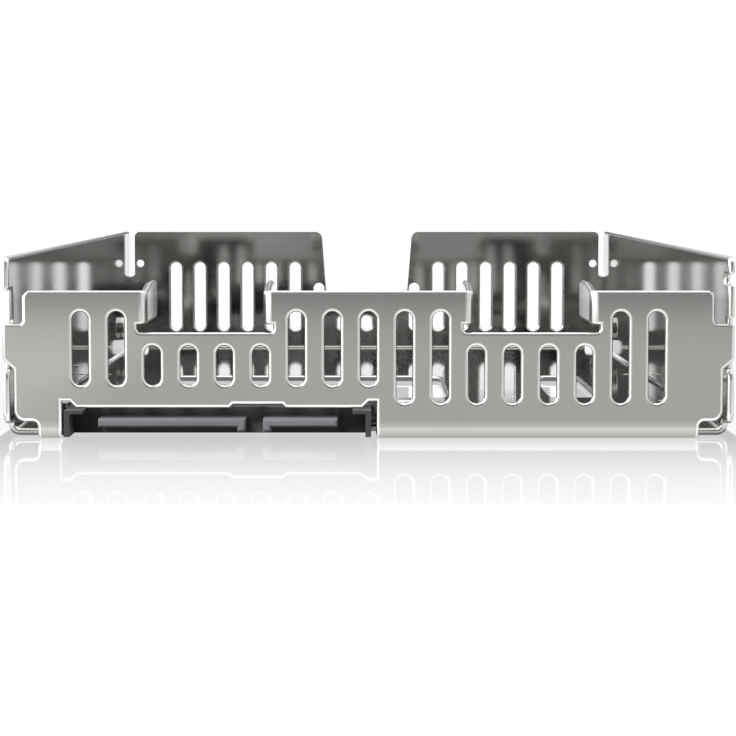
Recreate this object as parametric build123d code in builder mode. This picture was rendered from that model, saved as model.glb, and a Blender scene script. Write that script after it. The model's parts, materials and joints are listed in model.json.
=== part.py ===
"""Drive bay adapter bracket.

A tray folded from one sheet of bright steel, with the outline and the screw holes of a
3.5-inch drive. A 2.5-inch drive lies on its floor. A small board in the connector end takes
that drive's receptacle through to a plug, in the place where a 3.5-inch drive has its own.

Millimetres. The origin is the middle of the underside, X runs across, Y from the connector
end (-Y) to the far end (+Y), and Z up. Depths are measured from the connector end.
"""

import os

from build123d import *

# Overall size
length = 147.0
width = 101.6
height = 25.4

# Sheet and its folds
sheet = 1.0
bend_inner = 0.6
fold_stop_x = 4.8
fold_stop_y = 4.5
relief_share = 0.8

# Corners, where a tab of each end panel sits in a notch of the side wall
tab_low = 11.1
tab_high = 16.1
tab_slope = 1.3
tab_clearance = 0.6
lower_gap = 0.5
panel_corner_lift = 0.9
panel_corner_round = 1.6
panel_top_round = 1.0
lug_lift = 0.5
lug_round = 1.5
step_depth = 3.7
left_step_drop = 4.6
right_nick_drop = 2.5
right_nick_height = 1.4
nick_round = 0.6

# Slots of both end panels
slot_pitch = 5.0
slot_width = 2.2
slot_margin = 8.0

# Connector panel
near_top = 20.7
near_upper_gap = 1.8
near_slot_low_left = 7.5
near_slot_low_right = 5.0
near_slot_high = 17.8
near_slot_high_under_notch = 13.05
notch_floor = 14.9
notch_inner = 14.6
notch_outer = 30.7
notch_round = 0.5

# Flanges folded back at the two sides of each notch
flange_bend_inner = 0.4
flange_low = 16.0
flange_high = 21.5
flange_length = 15.0
flange_round = 1.4

# Far panel
far_upper_gap = 1.1
far_slot_low = 4.7
far_slot_high = 18.9
far_slot_high_beside_gap = 14.6
far_slot_high_under_gap = 7.7
gap_floor = 10.0
gap_half_low = 8.25
gap_half_high = 9.4
gap_round = 2.5
gap_top_round = 1.5
pinhole_radius = 0.75
pinhole_margin = 1.2
pinhole_height = 18.7

# Floor windows
window_width = 48.5
window_length = 36.5
window_x = -11.25
window_depth = 46.5
window_round = 2.5
vent_width = 7.7
vent_x = 33.65

# Tapped holes of the 3.5-inch pattern
tapped_radius = 1.4
side_hole_height = 6.35
side_hole_depth = 28.5
side_hole_far_depth = 16.9
collar_radius = 2.3
collar_rise = 0.8
bottom_hole_depth = 41.28
bottom_hole_spacing = 44.45
bottom_hole_margin = 3.175

# The 2.5-inch drive that the tray takes
drive_width = 69.85
drive_side_clearance = 1.5
drive_connector_offset = 4.8
drive_connector_height = 3.5
drive_hole_span = 61.72
drive_hole_spacing = 76.6
drive_hole_from_end = 14.0
drive_hole_radius = 1.7
drive_sink_radius = 2.5
drive_sink_angle = 90

# Connector interface, shared by the plug and the receptacle
power_tongue = 20.57
data_tongue = 10.41
tongue_gap = 2.41
tongue_thickness = 1.15
key_width = 1.15
key_drop = 0.65
mating_depth = 4.6
contact_pitch = 1.27
contact_width = 0.84
contact_thickness = 0.2
contact_clearance = 0.03
power_count = 15
data_count = 7

# Plug
plug_from_side = 29.8
plug_width = 42.75
plug_low = 0.3
plug_recess = 0.2
plug_wall = 0.8
plug_end = 2.6
plug_lip = 0.5
tongue_tip = 0.6
tongue_root = 5.3
tongue_top = 2.78
tongue_lead = 0.3
contact_setback = 0.8
back_depth = 7.6
foot_depth = 10.4
foot_height = 1.0
riser_gap = 0.4
tail_length = 1.4

# Cut-out for the plug
cutout_gap_left = 0.2
cutout_gap_right = 0.7
cutout_top = 4.4
cutout_corner_top = 5.3
cutout_corner = 1.0
cutout_slant = 0.9
cutout_key_top = 4.9
cutout_key_from = 1.7
cutout_key_to = 9.0
cutout_depth = 9.0

# Board, its raised seats and its screws
board_thickness = 1.6
board_edge_gap = 0.15
board_far_depth = 17.0
board_margin = 3.0
board_round = 1.0
seat_radius = 3.0
seat_wall = 0.6
screw_beside_plug = 2.625
screw_beside_receptacle = 4.68
screw_depth = 13.0
screw_radius = 1.2
screw_clearance = 0.05
screw_head_radius = 2.1
screw_head_height = 1.3
screw_head_round = 0.4
screw_tip = 0.1
board_hole_clearance = 0.2

# Receptacle
receptacle_back = 11.0
receptacle_mouth = 16.5
receptacle_height = 3.0
receptacle_axis = 1.5
receptacle_end = 2.8
receptacle_slot_clearance = 0.1
receptacle_lead = 0.15
receptacle_tail = 1.1
beam_rise = 0.45
beam_tip_gap = 0.8

# Board locks of the plug and the receptacle
lock_radius = 0.5
lock_clearance = 0.04
lock_height = 0.6
lock_floor_gap = 0.2

# Derived places
half_length = length / 2
half_width = width / 2
bend_outer = bend_inner + sheet
flange_bend_outer = flange_bend_inner + sheet
panel_corner_low = bend_outer + panel_corner_lift
lug_low = bend_outer + lug_lift
fold_half_x = half_width - fold_stop_x
fold_half_y = half_length - fold_stop_y
wall_inner = half_width - sheet
seat_rise = drive_connector_height - receptacle_axis - board_thickness
board_bottom = sheet + seat_rise
board_top = board_bottom + board_thickness
tongue_low = tongue_top - tongue_thickness
tongue_span = power_tongue + tongue_gap + data_tongue
slot_reach = int((wall_inner - slot_margin) // slot_pitch)
window_y = window_depth + window_length / 2 - half_length
plug_high = board_top + foot_height
plug_x = plug_from_side - half_width
plug_left = plug_x - plug_width / 2
plug_right = plug_x + plug_width / 2
drive_x = -wall_inner + drive_side_clearance + drive_width / 2
drive_end_depth = receptacle_mouth - mating_depth
receptacle_x = drive_x - drive_connector_offset
receptacle_width = tongue_span + 2 * receptacle_end
receptacle_top = board_top + receptacle_height
drive_tongue_top = sheet + drive_connector_height + tongue_thickness / 2
receptacle_slot_low = drive_tongue_top - tongue_thickness - receptacle_slot_clearance
riser_depth = back_depth + riser_gap
board_near_depth = riser_depth + contact_thickness + board_edge_gap
screw_left = plug_left - screw_beside_plug
screw_right = receptacle_x + receptacle_width / 2 + screw_beside_receptacle
screw_places = (screw_left, screw_right)
plug_lock_places = (plug_left + plug_end / 2, plug_right - plug_end / 2)
plug_lock_depth = (board_near_depth + foot_depth) / 2
receptacle_lock_reach = (receptacle_width - receptacle_end) / 2
receptacle_lock_places = (receptacle_x - receptacle_lock_reach, receptacle_x + receptacle_lock_reach)
receptacle_lock_depth = (receptacle_back + receptacle_mouth) / 2


def at(depth):
    """Y of a place at this depth behind the connector end."""
    return depth - half_length


def across(depth):
    """Plane across the bracket at this depth, facing the connector end."""
    return Plane.XZ.offset(half_length - depth)


def fold_section(centre, toward, inner=bend_inner):
    """Quarter ring of a fold, centred at a point, on the side that toward gives."""
    outer = inner + sheet
    with Locations(centre):
        Circle(outer)
        Circle(inner, mode=Mode.SUBTRACT)
        with Locations((toward[0] * outer / 2, toward[1] * outer / 2)):
            Rectangle(outer, outer, mode=Mode.INTERSECT)


def round_at(sketch, radius, *places):
    """Round the corners of a sketch that are nearest to the places."""
    corners = [sketch.vertices().sort_by_distance((x, y, 0))[0] for x, y in places]
    fillet(corners, radius)


def mirrored(points):
    """Points of a right half, with their mirror images in the other order."""
    return points + [(-x, y) for x, y in reversed(points)]


def panel_outline(sketch, top, upper_gap, top_round):
    """End panel from its fold up, with a tab at each side that reaches through the wall."""
    lower = wall_inner - lower_gap
    upper = wall_inner - upper_gap
    half = [
        (fold_half_x, bend_outer),
        (fold_half_x, panel_corner_low),
        (lower, panel_corner_low),
        (lower, tab_low - tab_slope),
        (half_width, tab_low),
        (half_width, tab_high),
        (upper, tab_high),
        (upper, top),
    ]
    Polygon(*mirrored(half), align=None)
    for side in (-1, 1):
        round_at(sketch, panel_corner_round, (side * lower, panel_corner_low))
        round_at(sketch, relief_share * panel_corner_lift, (side * fold_half_x, panel_corner_low))
        round_at(sketch, notch_round, (side * upper, tab_high), (side * half_width, tab_high))
        round_at(sketch, top_round, (side * upper, top))


def cut_slot(column, low, high):
    """Cut a slot with round ends in one column of an end panel."""
    with Locations((column * slot_pitch, (low + high) / 2)):
        SlotOverall(high - low, slot_width, rotation=90, mode=Mode.SUBTRACT)


def wall_outline(sketch):
    """Side wall from its fold up, with lugs at both ends and a notch for each panel's tab."""
    notch_end = half_length - sheet - tab_clearance
    notch_low = tab_low - tab_slope
    notch_high = tab_high + tab_clearance
    half = [
        (fold_half_y, bend_outer),
        (fold_half_y, lug_low),
        (half_length, lug_low),
        (half_length, notch_low),
        (notch_end, notch_low),
        (notch_end, notch_high),
        (half_length, notch_high),
        (half_length, height),
    ]
    Polygon(*mirrored(half), align=None)
    for end in (-1, 1):
        lug_corners = [(end * half_length, z) for z in (lug_low, notch_low, height)]
        round_at(sketch, lug_round, *lug_corners)
        round_at(sketch, relief_share * lug_lift, (end * fold_half_y, lug_low))


def contact_places(middle, count):
    """X of each contact in a row about its middle."""
    return [middle + (i - (count - 1) / 2) * contact_pitch for i in range(count)]


def tongue_middles(middle):
    """X of the middles of the power and the data tongue of a connector."""
    power = middle - tongue_span / 2 + power_tongue / 2
    data = middle + tongue_span / 2 - data_tongue / 2
    return power, data


def tongue_section(middle, low, growth):
    """Both tongues with the keys that face each other across their gap, grown all round."""
    power, data = tongue_middles(middle)
    for centre, size, key_side in ((power, power_tongue, 1), (data, data_tongue, -1)):
        with Locations((centre, low + tongue_thickness / 2)):
            Rectangle(size + 2 * growth, tongue_thickness + 2 * growth)
        key = (centre + key_side * (size - key_width) / 2, low - key_drop / 2)
        with Locations(key):
            Rectangle(key_width + 2 * growth, key_drop + 2 * growth)


def plug_contacts(places):
    """Plug contacts: under the tongue, through the back, up its riser and onto the board."""
    strip_top = tongue_low + contact_thickness
    tail_top = board_top + contact_thickness
    front = at(tongue_tip + contact_setback)
    riser = at(riser_depth)
    with BuildSketch(*[Plane.YZ.offset(x) for x in places]) as strips:
        Polygon(
            (front, tongue_low),
            (riser + contact_thickness, tongue_low),
            (riser + contact_thickness, board_top),
            (riser + tail_length, board_top),
            (riser + tail_length, tail_top),
            (riser, tail_top),
            (riser, strip_top),
            (front, strip_top),
            align=None,
        )
    extrude(strips.sketch, amount=contact_width / 2, both=True)


def receptacle_contacts(places):
    """Receptacle contacts: a tail on the board, a step up and a beam under the slot."""
    beam_low = board_top + beam_rise
    tail = at(receptacle_back - receptacle_tail)
    step = at(receptacle_back + contact_thickness)
    tip = at(receptacle_mouth - beam_tip_gap - contact_clearance)
    with BuildSketch(*[Plane.YZ.offset(x) for x in places]) as strips:
        Polygon(
            (tail, board_top),
            (step + contact_thickness, board_top),
            (step + contact_thickness, beam_low),
            (tip, beam_low),
            (tip, beam_low + contact_thickness),
            (step, beam_low + contact_thickness),
            (step, board_top + contact_thickness),
            (tail, board_top + contact_thickness),
            align=None,
        )
    extrude(strips.sketch, amount=contact_width / 2, both=True)


def board_locks(places, depth):
    """Pins that hold a connector's ends to the board."""
    foot = sheet + lock_floor_gap
    with BuildSketch(Plane.XY.offset(foot)) as pins:
        with Locations([(x, at(depth)) for x in places]):
            Circle(lock_radius)
    extrude(pins.sketch, amount=board_top + lock_height - foot)


def lock_sockets(places, depth):
    """Blind holes in a connector's underside for its board locks."""
    with BuildSketch(Plane.XY.offset(board_top)) as sockets:
        with Locations([(x, at(depth)) for x in places]):
            Circle(lock_radius + lock_clearance)
    extrude(sockets.sketch, amount=lock_height + lock_clearance, mode=Mode.SUBTRACT)


# Tray
with BuildPart() as tray:
    # Floor between the folds, with its corners cut away
    with BuildSketch() as floor:
        Rectangle(width - 2 * bend_outer, length - 2 * bend_outer)
        with GridLocations(width, length, 2, 2):
            Rectangle(2 * fold_stop_x, 2 * fold_stop_y, mode=Mode.SUBTRACT)
        with Locations((window_x, window_y)):
            RectangleRounded(window_width, window_length, window_round, mode=Mode.SUBTRACT)
        with Locations((vent_x, window_y)):
            RectangleRounded(vent_width, window_length, window_round, mode=Mode.SUBTRACT)
    extrude(amount=sheet)

    # Folds at the ends and the sides
    for way in (-1, 1):
        with BuildSketch(Plane.YZ):
            fold_section((way * (half_length - bend_outer), bend_outer), (way, -1))
        extrude(amount=fold_half_x, both=True)
        with BuildSketch(Plane.XZ):
            fold_section((way * (half_width - bend_outer), bend_outer), (way, -1))
        extrude(amount=fold_half_y, both=True)

    # Side walls
    for side in (-1, 1):
        with BuildSketch(Plane.YZ.offset(side * half_width)) as wall:
            wall_outline(wall)
            step_high = height - (left_step_drop if side < 0 else right_nick_drop)
            step_low = tab_high if side < 0 else step_high - right_nick_height
            with Locations((-half_length, (step_low + step_high) / 2)):
                RectangleRounded(2 * step_depth, step_high - step_low, nick_round, mode=Mode.SUBTRACT)
        extrude(amount=-side * sheet)

    # Connector panel with its two notches
    notch_from = notch_inner - flange_bend_outer
    notch_to = notch_outer + flange_bend_outer
    with BuildSketch(across(0)) as near_panel:
        panel_outline(near_panel, near_top, near_upper_gap, panel_top_round)
        for side in (-1, 1):
            with Locations((side * (notch_from + notch_to) / 2, near_top)):
                Rectangle(notch_to - notch_from, 2 * (near_top - notch_floor), mode=Mode.SUBTRACT)
        for side in (-1, 1):
            notch_corners = [(side * x, notch_floor) for x in (notch_from, notch_to)]
            round_at(near_panel, notch_round, *notch_corners)
        for column in range(-slot_reach, slot_reach + 1):
            under_notch = notch_from < abs(column * slot_pitch) < notch_to
            slot_top = near_slot_high_under_notch if under_notch else near_slot_high
            slot_low = near_slot_low_right if column > 0 else near_slot_low_left
            cut_slot(column, slot_low, slot_top)
    extrude(amount=-sheet)

    # Flanges of the notches
    for side in (-1, 1):
        for face, away in ((notch_outer, 1), (notch_inner, -1)):
            fold_x = side * (face + away * flange_bend_outer)
            with BuildSketch(Plane.XY.offset(flange_low)):
                fold_section((fold_x, at(flange_bend_outer)), (-side * away, -1), flange_bend_inner)
            extrude(amount=near_top - flange_low)
            with BuildSketch(Plane.YZ.offset(side * face)) as flange:
                Polygon(
                    (at(flange_bend_outer), flange_low),
                    (at(flange_length), flange_low),
                    (at(flange_length), flange_high),
                    (at(flange_length / 2), flange_high),
                    (at(flange_bend_outer), near_top),
                    align=None,
                )
                flange_corners = [(at(flange_length), z) for z in (flange_low, flange_high)]
                round_at(flange, flange_round, *flange_corners)
            extrude(amount=side * away * sheet)

    # Far panel with the gap in its middle
    with BuildSketch(across(length)) as far_panel:
        panel_outline(far_panel, height, far_upper_gap, panel_top_round)
        gap_edge = [(gap_half_low, gap_floor), (gap_half_high, height)]
        Polygon(*mirrored(gap_edge), align=None, mode=Mode.SUBTRACT)
        for side in (-1, 1):
            round_at(far_panel, gap_round, (side * gap_half_low, gap_floor))
            round_at(far_panel, gap_top_round, (side * gap_half_high, height))
        for column in range(-slot_reach, slot_reach + 1):
            place = abs(column * slot_pitch)
            slot_top = far_slot_high
            if place < gap_half_high + slot_width:
                slot_top = far_slot_high_beside_gap
            if place < gap_half_low:
                slot_top = far_slot_high_under_gap
            cut_slot(column, far_slot_low, slot_top)
        pinhole_x = wall_inner - far_upper_gap - pinhole_margin
        with Locations((-pinhole_x, pinhole_height), (pinhole_x, pinhole_height)):
            Circle(pinhole_radius, mode=Mode.SUBTRACT)
    extrude(amount=sheet)

    # Tapped side holes with drawn collars
    side_hole_depths = (side_hole_depth, length - side_hole_far_depth)
    side_hole_places = [(at(depth), side_hole_height) for depth in side_hole_depths]
    for side in (-1, 1):
        with BuildSketch(Plane.YZ.offset(side * wall_inner)):
            with Locations(side_hole_places):
                Circle(collar_radius)
        extrude(amount=-side * collar_rise)
        with BuildSketch(Plane.YZ.offset(side * half_width)):
            with Locations(side_hole_places):
                Circle(tapped_radius)
        extrude(amount=-side * (sheet + collar_rise), mode=Mode.SUBTRACT)

    # Holes of the floor: the 3.5-inch pattern and the 2.5-inch drive's countersunk screws
    with Locations((0, at(bottom_hole_depth + bottom_hole_spacing / 2), sheet)):
        with GridLocations(width - 2 * bottom_hole_margin, bottom_hole_spacing, 2, 2):
            Hole(tapped_radius, depth=sheet)
    drive_hole_y = at(drive_end_depth + drive_hole_from_end + drive_hole_spacing / 2)
    with Locations(Plane.XY.rotated((180, 0, 0))):
        with Locations((drive_x, -drive_hole_y)):
            with GridLocations(drive_hole_span, drive_hole_spacing, 2, 2):
                CounterSinkHole(drive_hole_radius, drive_sink_radius, sheet, drive_sink_angle)

    # Raised seats for the board, pressed up from below
    seat_places = [(x, at(screw_depth)) for x in screw_places]
    with BuildSketch(Plane.XY.offset(sheet)):
        with Locations(seat_places):
            Circle(seat_radius)
    extrude(amount=seat_rise)
    with BuildSketch():
        with Locations(seat_places):
            Circle(seat_radius - seat_wall)
    extrude(amount=seat_rise, mode=Mode.SUBTRACT)
    with Locations([(x, at(screw_depth), board_bottom) for x in screw_places]):
        Hole(screw_radius + screw_clearance, depth=sheet)

    # Cut-out for the plug, open through the fold
    cut_left = plug_left - cutout_gap_left
    cut_right = plug_right + cutout_gap_right
    with BuildSketch(across(0)) as cutout:
        Polygon(
            (cut_left, -sheet),
            (cut_left, cutout_corner_top),
            (cut_left + cutout_corner, cutout_corner_top),
            (cut_left + cutout_corner + cutout_slant, cutout_top),
            (plug_x + cutout_key_from, cutout_top),
            (plug_x + cutout_key_from + cutout_key_top - cutout_top, cutout_key_top),
            (plug_x + cutout_key_to, cutout_key_top),
            (plug_x + cutout_key_to + cutout_key_top - cutout_top, cutout_top),
            (cut_right - cutout_corner - cutout_slant, cutout_top),
            (cut_right - cutout_corner, cutout_corner_top),
            (cut_right, cutout_corner_top),
            (cut_right, -sheet),
            align=None,
        )
    extrude(amount=-cutout_depth, mode=Mode.SUBTRACT)

# Adapter board
with BuildPart() as adapter_board:
    board_left = screw_left - board_margin
    board_right = screw_right + board_margin
    with BuildSketch(Plane.XY.offset(board_bottom)) as board_outline:
        with Locations(((board_left + board_right) / 2, at((board_near_depth + board_far_depth) / 2))):
            RectangleRounded(board_right - board_left, board_far_depth - board_near_depth, board_round)
        with Locations(seat_places):
            Circle(screw_radius + board_hole_clearance, mode=Mode.SUBTRACT)
        plug_lock_points = [(x, at(plug_lock_depth)) for x in plug_lock_places]
        receptacle_lock_points = [(x, at(receptacle_lock_depth)) for x in receptacle_lock_places]
        with Locations(plug_lock_points + receptacle_lock_points):
            Circle(lock_radius + lock_clearance, mode=Mode.SUBTRACT)
    extrude(amount=board_thickness)

# Plug
plug_power_x, plug_data_x = tongue_middles(plug_x)
plug_power_places = contact_places(plug_power_x, power_count)
plug_data_places = contact_places(plug_data_x, data_count)

with BuildPart() as plug_housing:
    # Back wall that carries the tongues
    with BuildSketch(across(tongue_root)):
        with Locations((plug_x, (plug_low + plug_high) / 2)):
            Rectangle(plug_width, plug_high - plug_low)
    extrude(amount=-(back_depth - tongue_root))

    # Tongues with a tapered leading edge
    with BuildSketch(across(tongue_tip)):
        tongue_section(plug_x, tongue_low, 0)
    extrude(amount=-(tongue_root - tongue_tip))
    tip_edges = plug_housing.faces().group_by(Axis.Y)[0].edges()
    chamfer(tip_edges, tongue_lead)

    # Guide walls at both ends, and the feet that stand on the board
    for side, end in ((1, plug_left), (-1, plug_right)):
        with BuildSketch(across(plug_recess)):
            Polygon(
                (end, plug_low),
                (end + side * plug_wall, plug_low),
                (end + side * plug_wall, plug_high - plug_lip),
                (end + side * plug_end, plug_high - plug_lip),
                (end + side * plug_end, plug_high),
                (end, plug_high),
                align=None,
            )
        extrude(amount=-(back_depth - plug_recess))
        with BuildSketch(across(back_depth)):
            with Locations((end + side * plug_end / 2, (board_top + plug_high) / 2)):
                Rectangle(plug_end, plug_high - board_top)
        extrude(amount=-(foot_depth - back_depth))

    # Channel of each contact
    strip_middle = tongue_low + contact_thickness / 2
    with BuildSketch(across(tongue_tip + contact_setback - contact_clearance)):
        with Locations([(x, strip_middle) for x in plug_power_places + plug_data_places]):
            Rectangle(contact_width + 2 * contact_clearance, contact_thickness + 2 * contact_clearance)
    extrude(amount=-back_depth, mode=Mode.SUBTRACT)

    lock_sockets(plug_lock_places, plug_lock_depth)

with BuildPart() as plug_power_contacts:
    plug_contacts(plug_power_places)

with BuildPart() as plug_data_contacts:
    plug_contacts(plug_data_places)

with BuildPart() as plug_board_locks:
    board_locks(plug_lock_places, plug_lock_depth)

# Receptacle
socket_power_x, socket_data_x = tongue_middles(receptacle_x)
socket_power_places = contact_places(socket_power_x, power_count)
socket_data_places = contact_places(socket_data_x, data_count)

with BuildPart() as receptacle_housing:
    with BuildSketch(across(receptacle_back)):
        with Locations((receptacle_x, (board_top + receptacle_top) / 2)):
            Rectangle(receptacle_width, receptacle_height)
    extrude(amount=-(receptacle_mouth - receptacle_back))

    # Slots that take the drive's tongues, with a tapered mouth
    with BuildSketch(across(receptacle_mouth)):
        tongue_section(receptacle_x, drive_tongue_top - tongue_thickness, receptacle_slot_clearance)
    extrude(amount=mating_depth, mode=Mode.SUBTRACT)
    mouth_edges = receptacle_housing.faces().sort_by(Axis.Y)[-1].inner_wires().edges()
    chamfer(mouth_edges, receptacle_lead)

    # Channel of each contact, from the board up into the slot
    channel_middle = (board_top + receptacle_slot_low) / 2
    with BuildSketch(across(receptacle_back)):
        with Locations([(x, channel_middle) for x in socket_power_places + socket_data_places]):
            Rectangle(contact_width + 2 * contact_clearance, receptacle_slot_low - board_top)
    extrude(amount=-(receptacle_mouth - receptacle_back - beam_tip_gap), mode=Mode.SUBTRACT)

    lock_sockets(receptacle_lock_places, receptacle_lock_depth)

with BuildPart() as receptacle_power_contacts:
    receptacle_contacts(socket_power_places)

with BuildPart() as receptacle_data_contacts:
    receptacle_contacts(socket_data_places)

with BuildPart() as receptacle_board_locks:
    board_locks(receptacle_lock_places, receptacle_lock_depth)

# Board screws
with BuildPart() as board_screws:
    with BuildSketch(Plane.XY.offset(screw_tip)):
        with Locations(seat_places):
            Circle(screw_radius)
    extrude(amount=board_top - screw_tip)
    with BuildSketch(Plane.XY.offset(board_top)):
        with Locations(seat_places):
            Circle(screw_head_radius)
    extrude(amount=screw_head_height)
    head_edges = board_screws.edges().group_by(Axis.Z)[-1]
    fillet(head_edges, screw_head_round)

# Files
os.makedirs("parts", exist_ok=True)
pieces = {
    "tray": tray,
    "adapter_board": adapter_board,
    "plug_housing": plug_housing,
    "plug_power_contacts": plug_power_contacts,
    "plug_data_contacts": plug_data_contacts,
    "plug_board_locks": plug_board_locks,
    "receptacle_housing": receptacle_housing,
    "receptacle_power_contacts": receptacle_power_contacts,
    "receptacle_data_contacts": receptacle_data_contacts,
    "receptacle_board_locks": receptacle_board_locks,
    "board_screws": board_screws,
}
for name, piece in pieces.items():
    piece.part.label = name
    export_step(piece.part, f"parts/{name}.step")
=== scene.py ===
"""Looks of the drive bay adapter bracket.

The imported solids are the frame. The folded sheet, the board, the two connectors and their contacts
are copied from it and get the rounded edges that punching, folding and moulding leave. The screws
with their cross recesses and threads, the tapped threads and the solder are modelled here.

Metres, in the frame of the solids: X across, Y from the connector end to the far end, Z up.
"""

import json
import logging
import math
from collections.abc import Callable, Iterator
from contextlib import contextmanager
from dataclasses import dataclass
from enum import Enum

import bmesh
import bpy
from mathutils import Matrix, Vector


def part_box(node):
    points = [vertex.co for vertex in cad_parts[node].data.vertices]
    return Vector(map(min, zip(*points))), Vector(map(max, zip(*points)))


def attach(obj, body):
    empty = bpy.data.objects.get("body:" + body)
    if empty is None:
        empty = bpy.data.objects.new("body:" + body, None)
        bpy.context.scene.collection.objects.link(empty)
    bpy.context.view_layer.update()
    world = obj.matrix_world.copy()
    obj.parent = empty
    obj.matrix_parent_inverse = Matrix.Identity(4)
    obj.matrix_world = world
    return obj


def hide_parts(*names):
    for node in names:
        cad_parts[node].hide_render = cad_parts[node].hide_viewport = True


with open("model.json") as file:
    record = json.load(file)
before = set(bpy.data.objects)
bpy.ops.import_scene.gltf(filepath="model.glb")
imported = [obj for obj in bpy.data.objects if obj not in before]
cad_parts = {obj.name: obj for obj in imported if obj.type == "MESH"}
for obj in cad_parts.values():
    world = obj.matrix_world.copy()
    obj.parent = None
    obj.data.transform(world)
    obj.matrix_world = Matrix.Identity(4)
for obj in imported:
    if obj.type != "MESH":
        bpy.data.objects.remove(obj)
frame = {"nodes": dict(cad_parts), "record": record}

LOG = logging.getLogger("bracket")
MM = 0.001
BODY = "root"
BAY_SCREWS = ("left_side_screws", "right_side_screws", "bottom_screws")
UP = Vector((0, 0, 1))

Colour = tuple[float, float, float]
Place = tuple[float, float, float]
Pair = tuple[float, float]
Levels = tuple[Pair, ...]
Stations = list[tuple[Vector, Vector]]
Inputs = dict[str | int, object]
Piece = bpy.types.Object
Socket = bpy.types.NodeSocket
EdgeTest = Callable[[bmesh.types.BMEdge], bool]


class Slot(Enum):
    """Material slots of the record."""

    STEEL = "bright_steel"
    BOARD = "board_laminate"
    PLASTIC = "connector_black"
    GOLD = "contact_gold"
    TIN = "tinned_steel"
    ZINC = "zinc_steel"


@dataclass(frozen=True)
class Outline:
    """Outline of a slot or hole that is punched along Y, with half-round ends."""

    middle: float
    low: float
    high: float
    radius: float
    near: float

    def axis(self, place: Vector) -> Vector:
        """Give the nearest point on the line between the middles of both ends."""
        return Vector((self.middle, place.y, min(max(place.z, self.low), self.high)))

    def moved(self, place: Vector) -> Vector:
        """Move a point straight out or in to the outline."""
        axis = self.axis(place)
        return axis + (place - axis).normalized() * self.radius

    def distance(self, place: Vector) -> float:
        """Give how far a point lies from the outline and from the sheet's near face."""
        return (self.moved(place) - place).length + abs(place.y - self.near)


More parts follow.
